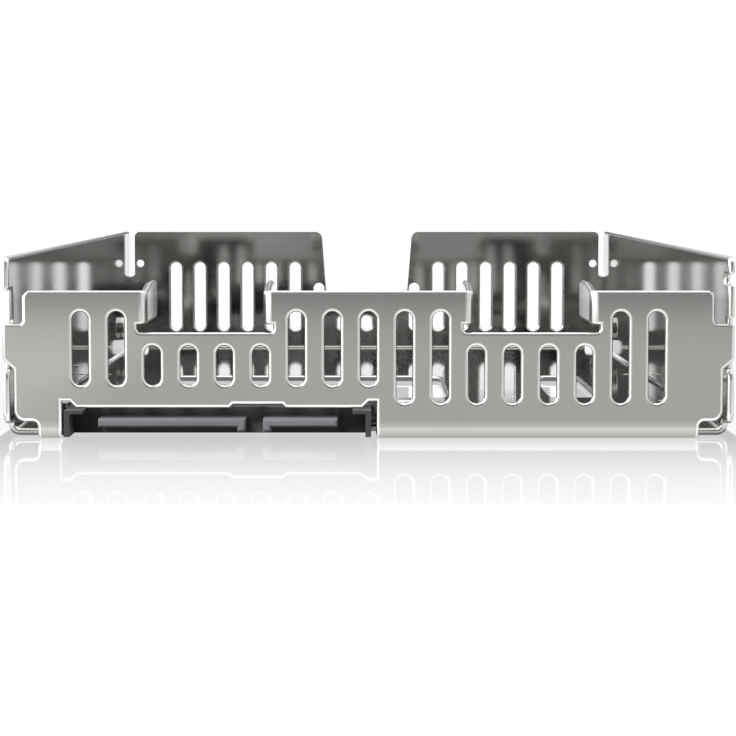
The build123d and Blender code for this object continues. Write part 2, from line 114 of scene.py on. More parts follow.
class Bench:
    """Steps that every piece shares: choosing it, editing it and finishing its mesh."""

    merge_gap: float = 0.001 * MM
    flat: float = math.radians(0.5)
    plane_gap: float = 0.002 * MM
    plane_digits: int = 3
    quad: int = 4
    flat_mark: str = "flat"
    rim_mark: str = "rim"
    rim_slot: int = 1
    turn_steps: int = 32
    fold_turn: float = 0.1
    facing: float = 0.9
    folded_back: float = math.radians(170)

    @staticmethod
    def pick(piece: Piece) -> None:
        """Make a piece the only one that is chosen."""
        bpy.ops.object.select_all(action="DESELECT")
        piece.select_set(True)
        bpy.context.view_layer.objects.active = piece

    @staticmethod
    @contextmanager
    def editing(piece: Piece) -> Iterator[None]:
        """Hold a piece in edit mode, with edges as the choice and none chosen yet.

        Args:
            piece: the mesh object to edit.
        """
        Bench.pick(piece)
        bpy.ops.object.mode_set(mode="EDIT")
        bpy.ops.mesh.select_mode(type="EDGE")
        bpy.ops.mesh.select_all(action="DESELECT")
        yield
        bpy.ops.object.mode_set(mode="OBJECT")

    @staticmethod
    def choose_edges(piece: Piece, test: EdgeTest) -> None:
        """Choose edges of a piece in edit mode.

        Args:
            piece: the piece that is being edited.
            test: says whether an edge is wanted.
        """
        shape = bmesh.from_edit_mesh(piece.data)
        wanted = [edge for edge in shape.edges if test(edge)]
        for edge in wanted:
            edge.select_set(True)
        bmesh.update_edit_mesh(piece.data)

    @staticmethod
    def choose_faces(piece: Piece, test: Callable[[bmesh.types.BMFace], bool]) -> None:
        """Choose faces of a piece in edit mode, and nothing else.

        Args:
            piece: the piece that is being edited.
            test: says whether a face is wanted.
        """
        bpy.ops.mesh.select_mode(type="FACE")
        bpy.ops.mesh.select_all(action="DESELECT")
        shape = bmesh.from_edit_mesh(piece.data)
        shape.normal_update()
        for face in shape.faces:
            face.select_set(test(face))
        bmesh.update_edit_mesh(piece.data)

    @staticmethod
    def started(name: str) -> Piece:
        """Name the primitive that was just added, put its place into its mesh and return it."""
        piece = bpy.context.view_layer.objects.active
        piece.name = name
        piece.data.name = name
        Bench.settle(piece)
        return piece

    @staticmethod
    def copies(pattern: Piece, name: str, places: Stations) -> Piece:
        """Set copies of a piece that was modelled along Z, join them and remove the pattern.

        Args:
            pattern: the piece that is copied.
            name: name of the joined copies.
            places: for each copy, its place and the direction that its Z takes.

        Returns:
            The joined copies.
        """
        made = []
        for place, direction in places:
            copy = bpy.data.objects.new(name, pattern.data.copy())
            copy.location = place
            copy.rotation_euler = UP.rotation_difference(direction).to_euler()
            bpy.context.scene.collection.objects.link(copy)
            Bench.settle(copy)
            made.append(copy)
        bpy.data.meshes.remove(pattern.data)
        return Bench.join(made, name)

    @staticmethod
    def helix(name: str, radius: float, tooth: float, pitch: float, span: Pair) -> Piece:
        """Wind the ridge of a thread about Z.

        Args:
            name: name of the ridge.
            radius: distance of the ridge's middle from the axis.
            tooth: half the ridge's width and height.
            pitch: rise of one turn.
            span: lowest and highest point of the ridge.

        Returns:
            The ridge, closed at both ends.
        """
        low, high = span
        turns = (high - low - 2 * tooth) / pitch
        section = {"vertices": Bench.quad, "radius": tooth, "location": (radius, 0, low + tooth)}
        bpy.ops.mesh.primitive_circle_add(**section, rotation=(math.pi / 2, 0, 0))
        ridge = Bench.started(name)
        winding = ridge.modifiers.new("winding", "SCREW")
        winding.angle = 2 * math.pi * turns
        winding.screw_offset = pitch * turns
        winding.steps = winding.render_steps = math.ceil(turns * Bench.turn_steps)
        bpy.ops.object.modifier_apply(modifier=winding.name)
        with Bench.editing(ridge):
            bpy.ops.mesh.select_all(action="SELECT")
            bpy.ops.mesh.fill_holes(sides=Bench.quad)
            bpy.ops.mesh.normals_make_consistent(inside=False)
        return ridge

    @staticmethod
    def copy_node(node: str, name: str) -> Piece:
        """Copy a solid of the frame, with its triangles merged into plain faces.

        Args:
            node: name of the solid's node.
            name: name of the new piece.

        Returns:
            The new piece, without a material.
        """
        mesh = frame["nodes"][node].data.copy()
        mesh.name = name
        mesh.materials.clear()
        piece = bpy.data.objects.new(name, mesh)
        bpy.context.scene.collection.objects.link(piece)
        Bench.pick(piece)
        for _ in range(Bench.rim_slot + 1):
            bpy.ops.object.material_slot_add()
        bpy.ops.mesh.customdata_custom_splitnormals_clear()
        with Bench.editing(piece):
            bpy.ops.mesh.select_all(action="SELECT")
            bpy.ops.mesh.remove_doubles(threshold=Bench.merge_gap)
            bpy.ops.mesh.dissolve_limited(angle_limit=Bench.flat)
        return piece

    @staticmethod
    def wall_groups(shape: bmesh.types.BMesh, widest: float) -> list[set[bmesh.types.BMVert]]:
        """Find the walls of holes that are punched along Y.

        Args:
            shape: the sheet, in edit mode.
            widest: width across X above which a group of walls isn't a hole.

        Returns:
            The corners of each hole's walls.
        """
        left = {face for face in shape.faces if abs(face.normal.y) < Bench.flat}
        groups = []
        while left:
            queue = [left.pop()]
            corners = set()
            while queue:
                face = queue.pop()
                corners.update(face.verts)
                near = {other for edge in face.edges for other in edge.link_faces} & left
                left -= near
                queue.extend(near)
            reach = [corner.co.x for corner in corners]
            if max(reach) - min(reach) < widest:
                groups.append(corners)
        return groups

    @staticmethod
    def refine_slots(piece: Piece, widest: float, cuts: int) -> None:
        """Give the half-round ends of punched slots and holes a finer curve.

        Args:
            piece: the sheet, before its rims are rounded.
            widest: width across X above which an opening is left as it is.
            cuts: new corners on each facet of the curve.
        """
        with Bench.editing(piece):
            shape = bmesh.from_edit_mesh(piece.data)
            ends = []
            for corners in Bench.wall_groups(shape, widest):
                across = [corner.co.x for corner in corners]
                up = [corner.co.z for corner in corners]
                near = min(corner.co.y for corner in corners)
                radius = (max(across) - min(across)) / 2
                middle = (max(across) + min(across)) / 2
                low, high = min(up) + radius, max(up) - radius
                ends.append(Outline(middle, low, high, radius, near))
                for edge in {edge for corner in corners for edge in corner.link_edges}:
                    first, second = edge.verts
                    curved = not low < (first.co.z + second.co.z) / 2 < high
                    level = abs(first.co.y - second.co.y) < Bench.merge_gap
                    if level and curved and first in corners and second in corners:
                        edge.select_set(True)
            bpy.ops.mesh.subdivide(number_cuts=cuts)
            shape = bmesh.from_edit_mesh(piece.data)
            for corner in [corner for corner in shape.verts if corner.select]:
                own = min(ends, key=lambda end: end.distance(corner.co))
                corner.co = own.moved(corner.co)
            bmesh.update_edit_mesh(piece.data)
        # A cut can leave a chord between two new corners, which folds back over the curve.
        with Bench.editing(piece):
            Bench.choose_edges(piece, lambda edge: edge.calc_face_angle(0) > Bench.folded_back)
            bpy.ops.mesh.dissolve_edges(use_verts=False)

    @staticmethod
    def hold(piece: Piece, box: tuple[Vector, Vector]) -> None:
        """Keep the corners of a piece inside a box.

        Args:
            piece: the piece.
            box: the lowest and the highest corner of the box.
        """
        for corner in piece.data.vertices:
            corner.co = [min(max(at, low), high) for at, low, high in zip(corner.co, *box)]

    @staticmethod
    def join_folds(piece: Piece, turn: float) -> None:
        """Join the first facet of each upright fold to its panel, so that rims meet on the panel.

        Args:
            piece: the sheet, before its rims are rounded.
            turn: most that the first facet turns from the panel.
        """

        def is_fold_line(edge: bmesh.types.BMEdge) -> bool:
            """Say whether an edge stands upright between a panel along X and its fold."""
            first, second = edge.verts
            rise = second.co - first.co
            upright = max(abs(rise.x), abs(rise.y)) < Bench.merge_gap
            panel = any(abs(face.normal.y) > math.cos(Bench.flat) for face in edge.link_faces)
            return upright and panel and Bench.flat < edge.calc_face_angle(0) < turn

        with Bench.editing(piece):
            Bench.choose_edges(piece, is_fold_line)
            bpy.ops.mesh.dissolve_edges(use_verts=False)

    @staticmethod
    def round_edges(piece: Piece, radius: float, steps: int, test: EdgeTest) -> None:
        """Round the edges of a piece that pass a test.

        Args:
            piece: the piece to change.
            radius: how far the rounding reaches from each edge.
            steps: faces across the rounding.
            test: says whether an edge is rounded.
        """
        with Bench.editing(piece):
            Bench.choose_edges(piece, test)
            bpy.ops.mesh.bevel(
                offset_type="OFFSET",
                offset=radius,
                segments=steps,
                affect="EDGES",
                clamp_overlap=False,
                loop_slide=False,
                material=Bench.rim_slot,
            )

    @staticmethod
    def is_upright_fold(face: bpy.types.MeshPolygon) -> bool:
        """Say whether a face belongs to a bend about Z."""
        across, along, up = face.normal
        return abs(up) < Bench.flat and min(abs(across), abs(along)) > Bench.fold_turn

    @staticmethod
    def mark_rims(piece: Piece) -> None:
        """Mark the faces of upright folds and of the second slot, which the rounding used."""
        mesh = piece.data
        slots = [face.material_index == Bench.rim_slot for face in mesh.polygons]
        rims = [float(slot or Bench.is_upright_fold(face)) for slot, face in zip(slots, mesh.polygons)]
        mark = mesh.attributes.new(Bench.rim_mark, "FLOAT", "FACE")
        mark.data.foreach_set("value", rims)

    @staticmethod
    def refill_flats(piece: Piece) -> None:
        """Lay the flats of a rounded piece anew, as triangles between their rims, and mark them.

        Args:
            piece: a closed piece whose large flat faces have many corners.
        """

        def plane_of(face: bmesh.types.BMFace) -> tuple[float, ...]:
            """Give a face's plane as a rounded normal and distance."""
            normal = face.normal
            distance = normal.dot(face.verts[0].co)
            tilt = (round(part, Bench.plane_digits) + 0.0 for part in normal)
            return (*tilt, round(distance / Bench.plane_gap))

        with Bench.editing(piece):
            bpy.ops.mesh.select_all(action="SELECT")
            bpy.ops.mesh.dissolve_degenerate(threshold=Bench.merge_gap)
            shape = bmesh.from_edit_mesh(piece.data)
            mark = shape.faces.layers.int.new(Bench.flat_mark)
            planes = {face: plane_of(face) for face in shape.faces}
            wanted = sorted({planes[face] for face in shape.faces if len(face.verts) > Bench.quad})
            for face in shape.faces:
                face[mark] = wanted.index(planes[face]) + 1 if planes[face] in wanted else 0
            for number in range(1, len(wanted) + 1):
                bpy.ops.mesh.select_all(action="DESELECT")
                shape = bmesh.from_edit_mesh(piece.data)
                mark = shape.faces.layers.int[Bench.flat_mark]
                old = [face for face in shape.faces if face[mark] == number]
                edges = {edge for face in old for edge in face.edges}
                rims = [edge for edge in edges if any(face[mark] != number for face in edge.link_faces)]
                bmesh.ops.delete(shape, geom=old, context="FACES")
                for edge in rims:
                    edge.select_set(True)
                bmesh.update_edit_mesh(piece.data)
                bpy.ops.mesh.fill(use_beauty=True)
                for face in shape.faces:
                    if face.select:
                        face[mark] = number
                        face.material_index = 0
            stray = [face for face in shape.faces if Bench.is_stray(face)]
            bmesh.ops.delete(shape, geom=stray, context="FACES")
            bpy.ops.mesh.select_all(action="SELECT")
            bpy.ops.mesh.normals_make_consistent(inside=False)

    @staticmethod
    def is_stray(face: bmesh.types.BMFace) -> bool:
        """Say whether a face lies over a closed flat, with a loose edge and a crowded one."""
        counts = [len(edge.link_faces) for edge in face.edges]
        return min(counts) == 1 and max(counts) > 2

    @staticmethod
    def sharper_than(angle: float) -> EdgeTest:
        """Give a test for outer edges between two faces that turn by more than an angle."""
        return lambda edge: edge.is_manifold and edge.calc_face_angle_signed() > angle

    @staticmethod
    def smooth(piece: Piece, angle: float) -> None:
        """Shade a piece smooth up to an angle, with the marked flats kept flat to their rims.

        Args:
            piece: the piece to shade.
            angle: sharpest turn that is shaded smooth.
        """
        Bench.pick(piece)
        bpy.ops.object.shade_smooth_by_angle(angle=angle)
        mesh = piece.data
        mark = mesh.attributes.get(Bench.flat_mark)
        if mark is None:
            return
        flats = [flat.value for flat in mark.data]
        tilt = {flat: Vector() for flat in flats}
        for face, flat in zip(mesh.polygons, flats):
            tilt[flat] += face.normal * face.area
        # A corner on the rim of a flat takes the normal of the flat, which keeps reflections straight.
        level: dict[int, list[Vector]] = {}
        for face, flat in zip(mesh.polygons, flats):
            for corner in face.vertices if flat else ():
                level.setdefault(corner, []).append(tilt[flat].normalized())
        normals = []
        for loop, corner in zip(mesh.loops, mesh.corner_normals):
            own = corner.vector.copy()
            nearest = max(level.get(loop.vertex_index, [own]), key=own.dot)
            normals.append(nearest if own.dot(nearest) > math.cos(angle) else own)
        mesh.attributes.remove(mark)
        mesh.normals_split_custom_set(normals)

    @staticmethod
    def settle(piece: Piece) -> None:
        """Put a piece's place into its mesh, so that its object sits at the origin."""
        Bench.pick(piece)
        bpy.ops.object.transform_apply(location=True, rotation=True, scale=True)

    @staticmethod
    def join(pieces: list[Piece], name: str) -> Piece:
        """Join pieces into one.

        Args:
            pieces: what is joined.
            name: name of the result.

        Returns:
            The joined piece.
        """
        joined = pieces[0]
        Bench.pick(joined)
        for piece in pieces:
            piece.select_set(True)
        bpy.ops.object.join()
        joined.name = name
        joined.data.name = name
        return joined

    @staticmethod
    def dress(piece: Piece, material: bpy.types.Material, slot: Slot, *nodes: str) -> None:
        """Give a piece its material and its place in the frame.

        Args:
            piece: the finished piece.
            material: its material.
            slot: the record's slot that it belongs to.
            nodes: the nodes that it stands for.
        """
        piece.data.materials.clear()
        piece.data.materials.append(material)
        piece.data.polygons.foreach_set("material_index", [0] * len(piece.data.polygons))
        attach(piece, BODY)
        if nodes:
            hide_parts(*nodes)
        LOG.info("%s: %d faces, %s", piece.name, len(piece.data.polygons), slot.value)


def bolt_places(pattern: str) -> Stations:
    """List the holes of a bolt pattern of the record.

    Args:
        pattern: name of the mount.

    Returns:
        For each hole, its middle on the outer face and the direction into the sheet.
    """
    mount = next(mount for mount in frame["record"]["mounts"] if mount["name"] == pattern)
    middle = Vector(mount["pos_m"])
    inward = -Vector(mount["axis"])
    across = mount["dims"]["spacing_x_mm"] * MM / 2
    along = mount["dims"].get("spacing_y_mm", 0) * MM / 2
    if inward.x:
        offsets = [Vector((0, side * across, 0)) for side in (-1, 1)]
    else:
        offsets = [Vector((x * across, y * along, 0)) for x in (-1, 1) for y in (-1, 1)]
    return [(middle + offset, inward) for offset in offsets]


def grey(level: float) -> tuple[float, ...]:
    """Give a grey as a colour with full cover."""
    return (level, level, level, 1.0)


class Nodes:
    """A node tree, with short calls for adding and joining nodes."""

    def __init__(self, tree: bpy.types.NodeTree) -> None:
        """Start with an empty tree.

        Args:
            tree: the tree of a material or of the surround.
        """
        self.tree = tree
        tree.nodes.clear()

    def add(self, kind: str, inputs: Inputs | None = None, **settings: object) -> bpy.types.Node:
        """Add a node.

        Args:
            kind: Blender's name for the node.
            inputs: values or other nodes' outputs, by the name or number of the input.
            settings: the node's own properties.

        Returns:
            The new node.
        """
        node = self.tree.nodes.new(kind)
        for name, value in settings.items():
            setattr(node, name, value)
        for name, value in (inputs or {}).items():
            self.feed(node, name, value)
        return node

    def feed(self, node: bpy.types.Node, name: str | int, value: object) -> None:
        """Set an input to a value, or join it to an output."""
        if isinstance(value, Socket):
            self.tree.links.new(value, node.inputs[name])
        else:
            node.inputs[name].default_value = value

    def ramp(self, source: Socket, levels: Levels) -> Socket:
        """Turn a number into a grey level.

        Args:
            source: the number.
            levels: pairs of a number and the grey that belongs to it, in rising order.

        Returns:
            The grey.
        """
        first, last = levels[0][0], levels[-1][0]
        inputs = {"Value": source, "From Min": first, "From Max": last}
        spread = self.add("ShaderNodeMapRange", inputs).outputs["Result"]
        ramp = self.add("ShaderNodeValToRGB", {"Fac": spread})
        stops = ramp.color_ramp.elements
        while len(stops) < len(levels):
            stops.new(1.0)
        for stop, (where, level) in zip(stops, levels):
            stop.position = (where - first) / (last - first)
            stop.color = grey(level)
        return ramp.outputs["Color"]


class Graph(Nodes):
    """Node tree of one material, with the nodes that finishes use."""

    noise_range: Pair = (0.3, 0.7)
    mixed_colours: tuple[int, int] = (6, 7)
    mixed_result: int = 2

    def __init__(self, name: str) -> None:
        """Start a material with a shader, its output and Object coordinates.

        Args:
            name: name of the material.
        """
        self.material = bpy.data.materials.new(name)
        self.material.use_nodes = True
        super().__init__(self.material.node_tree)
        self.shader = self.add("ShaderNodeBsdfPrincipled")
        self.surface = self.add("ShaderNodeOutputMaterial").inputs["Surface"]
        self.tree.links.new(self.shader.outputs["BSDF"], self.surface)
        self.place = self.add("ShaderNodeTexCoord").outputs["Object"]

    def set(self, **values: object) -> None:
        """Set inputs of the shader, with underscores for the spaces in their names."""
        for name, value in values.items():
            self.feed(self.shader, name.replace("_", " "), value)

    def noise(self, size: float, detail: float = 2.0, stretch: Place = (1, 1, 1)) -> Socket:
        """Give smooth noise on the piece's own coordinates.

        Args:
            size: width of one spot, in metres.
            detail: how many finer layers it has.
            stretch: how much longer the spots are along X, Y and Z.

        Returns:
            The output, from 0 to 1.
        """
        squeeze = tuple(1 / (size * share) for share in stretch)
        mapping = self.add("ShaderNodeMapping", {"Vector": self.place, "Scale": squeeze})
        inputs = {"Vector": mapping.outputs["Vector"], "Scale": 1.0, "Detail": detail}
        return self.add("ShaderNodeTexNoise", inputs).outputs["Fac"]

    def between(self, source: Socket, low: float, high: float) -> Socket:
        """Spread the middle of a noise over a range.

        Args:
            source: the noise.
            low: value for its dark spots.
            high: value for its light spots.

        Returns:
            The output.
        """
        first, last = self.noise_range
        inputs = {"Value": source, "From Min": first, "From Max": last, "To Min": low, "To Max": high}
        return self.add("ShaderNodeMapRange", inputs).outputs["Result"]

    def mix(self, share: Socket, first: Colour | Socket, second: Colour | Socket) -> Socket:
        """Blend two colours.

        Args:
            share: how much of the second shows.
            first: colour at 0.
            second: colour at 1.

        Returns:
            The blended colour.
        """
        node = self.add("ShaderNodeMix", {0: share}, data_type="RGBA")
        for number, colour in zip(self.mixed_colours, (first, second)):
            plain = isinstance(colour, tuple)
            self.feed(node, number, (*colour, 1.0) if plain else colour)
        return node.outputs[self.mixed_result]

    def limited(self, along: Levels, across: Levels) -> Socket:
        """Give a grey that changes along Y, scaled by one that changes across X.

        Args:
            along: levels along Y.
            across: levels across X.

        Returns:
            The scaled grey.
        """
        x, y, _ = self.add("ShaderNodeSeparateXYZ", {"Vector": self.place}).outputs
        inputs = {"Value": self.ramp(y, along), "To Max": self.ramp(x, across)}
        return self.add("ShaderNodeMapRange", inputs).outputs["Result"]

    def bump(self, *layers: tuple[Socket, float]) -> None:
        """Tilt the surface by one or more reliefs.

        Args:
            layers: pairs of a relief from 0 to 1 and its height in metres.
        """
        normal = None
        for relief, height in layers:
            inputs = {"Height": relief, "Distance": height, "Strength": 1.0}
            if normal is not None:
                inputs["Normal"] = normal
            normal = self.add("ShaderNodeBump", inputs).outputs["Normal"]
        self.set(Normal=normal)


@dataclass(frozen=True)
class Finish:
    """A finish that is made into a material once."""

    name: str

    def material(self) -> bpy.types.Material:
        """Give the finish's material, made at the first call."""
        known = bpy.data.materials.get(self.name)
        if known:
            return known
        graph = Graph(self.name)
        self.paint(graph)
        return graph.material

    def paint(self, graph: Graph) -> None:
        """Set up the shader; each finish has its own."""
        raise NotImplementedError


@dataclass(frozen=True)
class BrightSteel(Finish):
    """Plated sheet, close to a mirror, with faint rolling lines and slow waves."""

    name: str = "finish_bright_steel"
    light: Colour = (0.405, 0.398, 0.384)
    dark: Colour = (0.36, 0.353, 0.34)
    # Rim colour: lighter than the face on the marked rims and upright folds, partly burnished edges and
    # partly a painted highlight standing in for their bright reflections.
    rim: Colour = (0.66, 0.655, 0.64)
    gloss: Pair = (0.045, 0.08)
    rim_gloss: float = 0.25
    cloud: float = 9 * MM
    wave: float = 14 * MM
    wave_height: float = 0.015 * MM
    line: float = 0.12 * MM
    line_length: float = 60.0
    line_height: float = 0.0006 * MM

    def paint(self, graph: Graph) -> None:
        """Mix cloudy plating over rolling lines, with a lighter colour on the marked rims and upright folds:
        partly burnished edges, partly a painted highlight.
        """
        cloud = graph.noise(self.cloud, detail=4.0)
        lines = graph.noise(self.line, stretch=(self.line_length, 1, 1))
        wave = graph.noise(self.wave, detail=0.0)
        burnished_and_highlit = graph.add("ShaderNodeAttribute", attribute_name=Bench.rim_mark).outputs["Fac"]
        face = graph.mix(cloud, self.dark, self.light)
        sheen = graph.between(lines, *self.gloss)
        inputs = {"Factor": burnished_and_highlit, "A": sheen, "B": self.rim_gloss}
        sheen = graph.add("ShaderNodeMix", inputs).outputs["Result"]
        # Painted highlight: the marked rims and folds take the lighter rim colour, on top of being
        # burnished.
        graph.set(Metallic=1.0, Base_Color=graph.mix(burnished_and_highlit, face, self.rim), Roughness=sheen)
        graph.bump((wave, self.wave_height), (lines, self.line_height))


@dataclass(frozen=True)
class MouldedPlastic(Finish):
    """Black moulded plastic with grain and greyer flow marks, with painted shade darkening it around the
    plug's tongues and at its guide ends.
    """

    name: str = "finish_moulded_black"
    light: Colour = (0.083, 0.086, 0.09)
    dark: Colour = (0.05, 0.052, 0.055)
    gloss: Pair = (0.3, 0.45)
    flow: float = 1.6 * MM
    flow_length: float = 4.0
    grain: float = 0.06 * MM
    grain_height: float = 0.004 * MM
    # Painted shade: the colour laid over the recesses around the plug's tongues and over its guide ends,
    # where little light reaches.
    shade_colour: Colour = (0.014, 0.0145, 0.0155)
    shine: float = 0.15
    shade_along: Levels = (
        (-0.0735, 0.85), (-0.0731, 0.85), (-0.07295, 0.0), (-0.072, 0.0),
        (-0.0685, 1.0), (-0.0662, 1.0), (-0.0655, 0.0),
    )
    shade_across: Levels = ((-0.0378, 1.0), (-0.0374, 0.35), (-0.0044, 0.35), (-0.004, 1.0))

    def paint(self, graph: Graph) -> None:
        """Mix flow marks and grain, and paint shade over the guide ends and the recess around the tongues.
        """
        flow = graph.noise(self.flow, detail=3.0, stretch=(self.flow_length, 1, 1))
        grain = graph.noise(self.grain)
        # Painted shade: darkening by place, along Y into the recesses and across X at the guide ends.
        shade_along = graph.limited(self.shade_along, self.shade_across)
        graph.set(Base_Color=graph.mix(shade_along, graph.mix(flow, self.dark, self.light), self.shade_colour))
        graph.set(Specular_IOR_Level=self.shine)
        graph.set(Roughness=graph.between(grain, *self.gloss))
        graph.bump((grain, self.grain_height))


@dataclass(frozen=True)
class SolderMask(Finish):
    """Black glossy mask over the weave of a glass-epoxy board."""

    name: str = "finish_solder_mask"
    light: Colour = (0.016, 0.02, 0.021)
    dark: Colour = (0.008, 0.01, 0.011)
    gloss: Pair = (0.18, 0.3)
    weave: float = 0.45 * MM
    weave_height: float = 0.004 * MM
    thread_length: float = 6.0
    cloud: float = 3 * MM
    coat: float = 0.4
    coat_gloss: float = 0.1

    def paint(self, graph: Graph) -> None:
        """Cross two sets of threads under a clouded mask."""
        cloud = graph.noise(self.cloud, detail=3.0)
        across = graph.noise(self.weave, detail=0.0, stretch=(self.thread_length, 1, 1))
        along = graph.noise(self.weave, detail=0.0, stretch=(1, self.thread_length, 1))
        graph.set(Base_Color=graph.mix(cloud, self.dark, self.light))
        graph.set(Roughness=graph.between(cloud, *self.gloss))
        graph.set(Coat_Weight=self.coat, Coat_Roughness=self.coat_gloss)
        graph.bump((across, self.weave_height), (along, self.weave_height))


@dataclass(frozen=True)
class PlatedMetal(Finish):
    """Plated metal with clouds, fine drawing lines and a soft shine."""

    name: str
    light: Colour
    dark: Colour
    gloss: Pair
    cloud: float = 0.8 * MM
    line: float = 0.05 * MM
    line_length: float = 12.0
    line_height: float = 0.001 * MM

    def paint(self, graph: Graph) -> None:
        """Mix clouds of plating over drawing lines."""
        cloud = graph.noise(self.cloud, detail=3.0)
        lines = graph.noise(self.line, detail=1.0, stretch=(1, self.line_length, 1))
        graph.set(Metallic=1.0, Base_Color=graph.mix(cloud, self.dark, self.light))
        graph.set(Roughness=graph.between(cloud, *self.gloss))
        graph.bump((lines, self.line_height))


STEEL = BrightSteel()
PLASTIC = MouldedPlastic()
MASK = SolderMask()
GOLD = PlatedMetal("finish_gold", (0.83, 0.6, 0.26), (0.7, 0.48, 0.18), (0.15, 0.3))
TIN = PlatedMetal("finish_tin", (0.62, 0.62, 0.6), (0.5, 0.5, 0.49), (0.25, 0.42))
ZINC = PlatedMetal("finish_zinc", (0.6, 0.6, 0.59), (0.48, 0.49, 0.5), (0.18, 0.34))
SOLDER = PlatedMetal("finish_solder", (0.72, 0.72, 0.71), (0.56, 0.56, 0.56), (0.12, 0.3), cloud=0.4 * MM)


@dataclass
class FoldedTray:
    """The tray, folded from one sheet, with its punched edges tumbled round."""

    node: str = "tray"
    rim: float = 0.46 * MM
    rim_steps: int = 5
    fine_rim: float = 0.12 * MM
    fine_steps: int = 3
    crease: float = math.radians(50)
    smooth_turn: float = math.radians(40)
    fine_reach: float = 3.6 * MM
    bolt_reach: float = 3.2 * MM
    patterns: tuple[str, ...] = (*BAY_SCREWS, "drive_screws")
    pinhole_reach: float = 1.0 * MM
    pinhole_height: float = 18.7 * MM
    pinhole_x: float = 47.5 * MM
    slot_reach: float = 3.0 * MM
    slot_cuts: int = 1
    fold_step: float = math.radians(6)
    far_panel: float = 72.0 * MM
    panel_side: Pair = (44.0 * MM, 49.3 * MM)
    panel_top: float = 20.5 * MM
    notch_reach: float = 12.0 * MM
    notch_low: float = 9.0 * MM
    notch_slot: float = 7.0 * MM

    def fine_places(self) -> list[tuple[Vector, float]]:
        """List the small features whose edges take less rounding, with their reach."""
        low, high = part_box("board_screws")
        reach = (high.y - low.y) / 2
        middle = (low.y + high.y) / 2
        seats = [Vector((x, middle, 0)) for x in (low.x + reach, high.x - reach)]
        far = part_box(self.node)[1].y
        holes = [Vector((side * self.pinhole_x, far, self.pinhole_height)) for side in (-1, 1)]
        bolts = [place for pattern in self.patterns for place, _ in bolt_places(pattern)]
        groups = ((seats, self.fine_reach), (holes, self.pinhole_reach), (bolts, self.bolt_reach))
        return [(place, reach) for places, reach in groups for place in places]

    def is_thin(self, place: Vector) -> bool:
        """Say whether a place lies on the far panel's outline or beside its notch."""
        across = abs(place.x)
        side = self.panel_side[0] < across < self.panel_side[1]
        notch = across < self.notch_reach and (place.z > self.notch_low or across > self.notch_slot)
        return place.y > self.far_panel and (side or notch or place.z > self.panel_top)

    def build(self) -> Piece:
        """Copy the folded sheet and round its rims.

        Returns:
            The finished sheet.
        """
        piece = Bench.copy_node(self.node, "tray_sheet")
        Bench.refine_slots(piece, self.slot_reach, self.slot_cuts)
        Bench.join_folds(piece, self.fold_step)
        sharp = Bench.sharper_than(self.crease)
        places = self.fine_places()

        def fine(edge: bmesh.types.BMEdge) -> bool:
            """Say whether an edge belongs to a small feature or to a thin web."""
            middle = (edge.verts[0].co + edge.verts[1].co) / 2
            small = any((middle - place).length < reach for place, reach in places)
            return small or self.is_thin(middle)

        Bench.round_edges(piece, self.fine_rim, self.fine_steps, lambda edge: sharp(edge) and fine(edge))
        Bench.round_edges(piece, self.rim, self.rim_steps, lambda edge: sharp(edge) and not fine(edge))
        Bench.hold(piece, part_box(self.node))
        Bench.refill_flats(piece)
        Bench.mark_rims(piece)
        Bench.smooth(piece, self.smooth_turn)
        return piece

    def dress(self, piece: Piece) -> None:
        """Plate the sheet."""
        Bench.dress(piece, STEEL.material(), Slot.STEEL, self.node)


@dataclass
class SoftenedNode:
    """A small piece of the frame whose edges are softened by moulding, drawing or routing."""

    node: str
    name: str
    finish: Finish
    slot: Slot
    edge: float
    steps: int = 2
    crease: float = math.radians(30)
    smooth_turn: float = math.radians(40)

    def build(self) -> Piece:
        """Copy the node and soften its edges.

        Returns:
            The finished piece.
        """
        piece = Bench.copy_node(self.node, self.name)
        Bench.round_edges(piece, self.edge, self.steps, Bench.sharper_than(self.crease))
        Bench.refill_flats(piece)
        Bench.smooth(piece, self.smooth_turn)
        return piece

    def dress(self, piece: Piece) -> None:
        """Give the piece its finish."""
        Bench.dress(piece, self.finish.material(), self.slot, self.node)


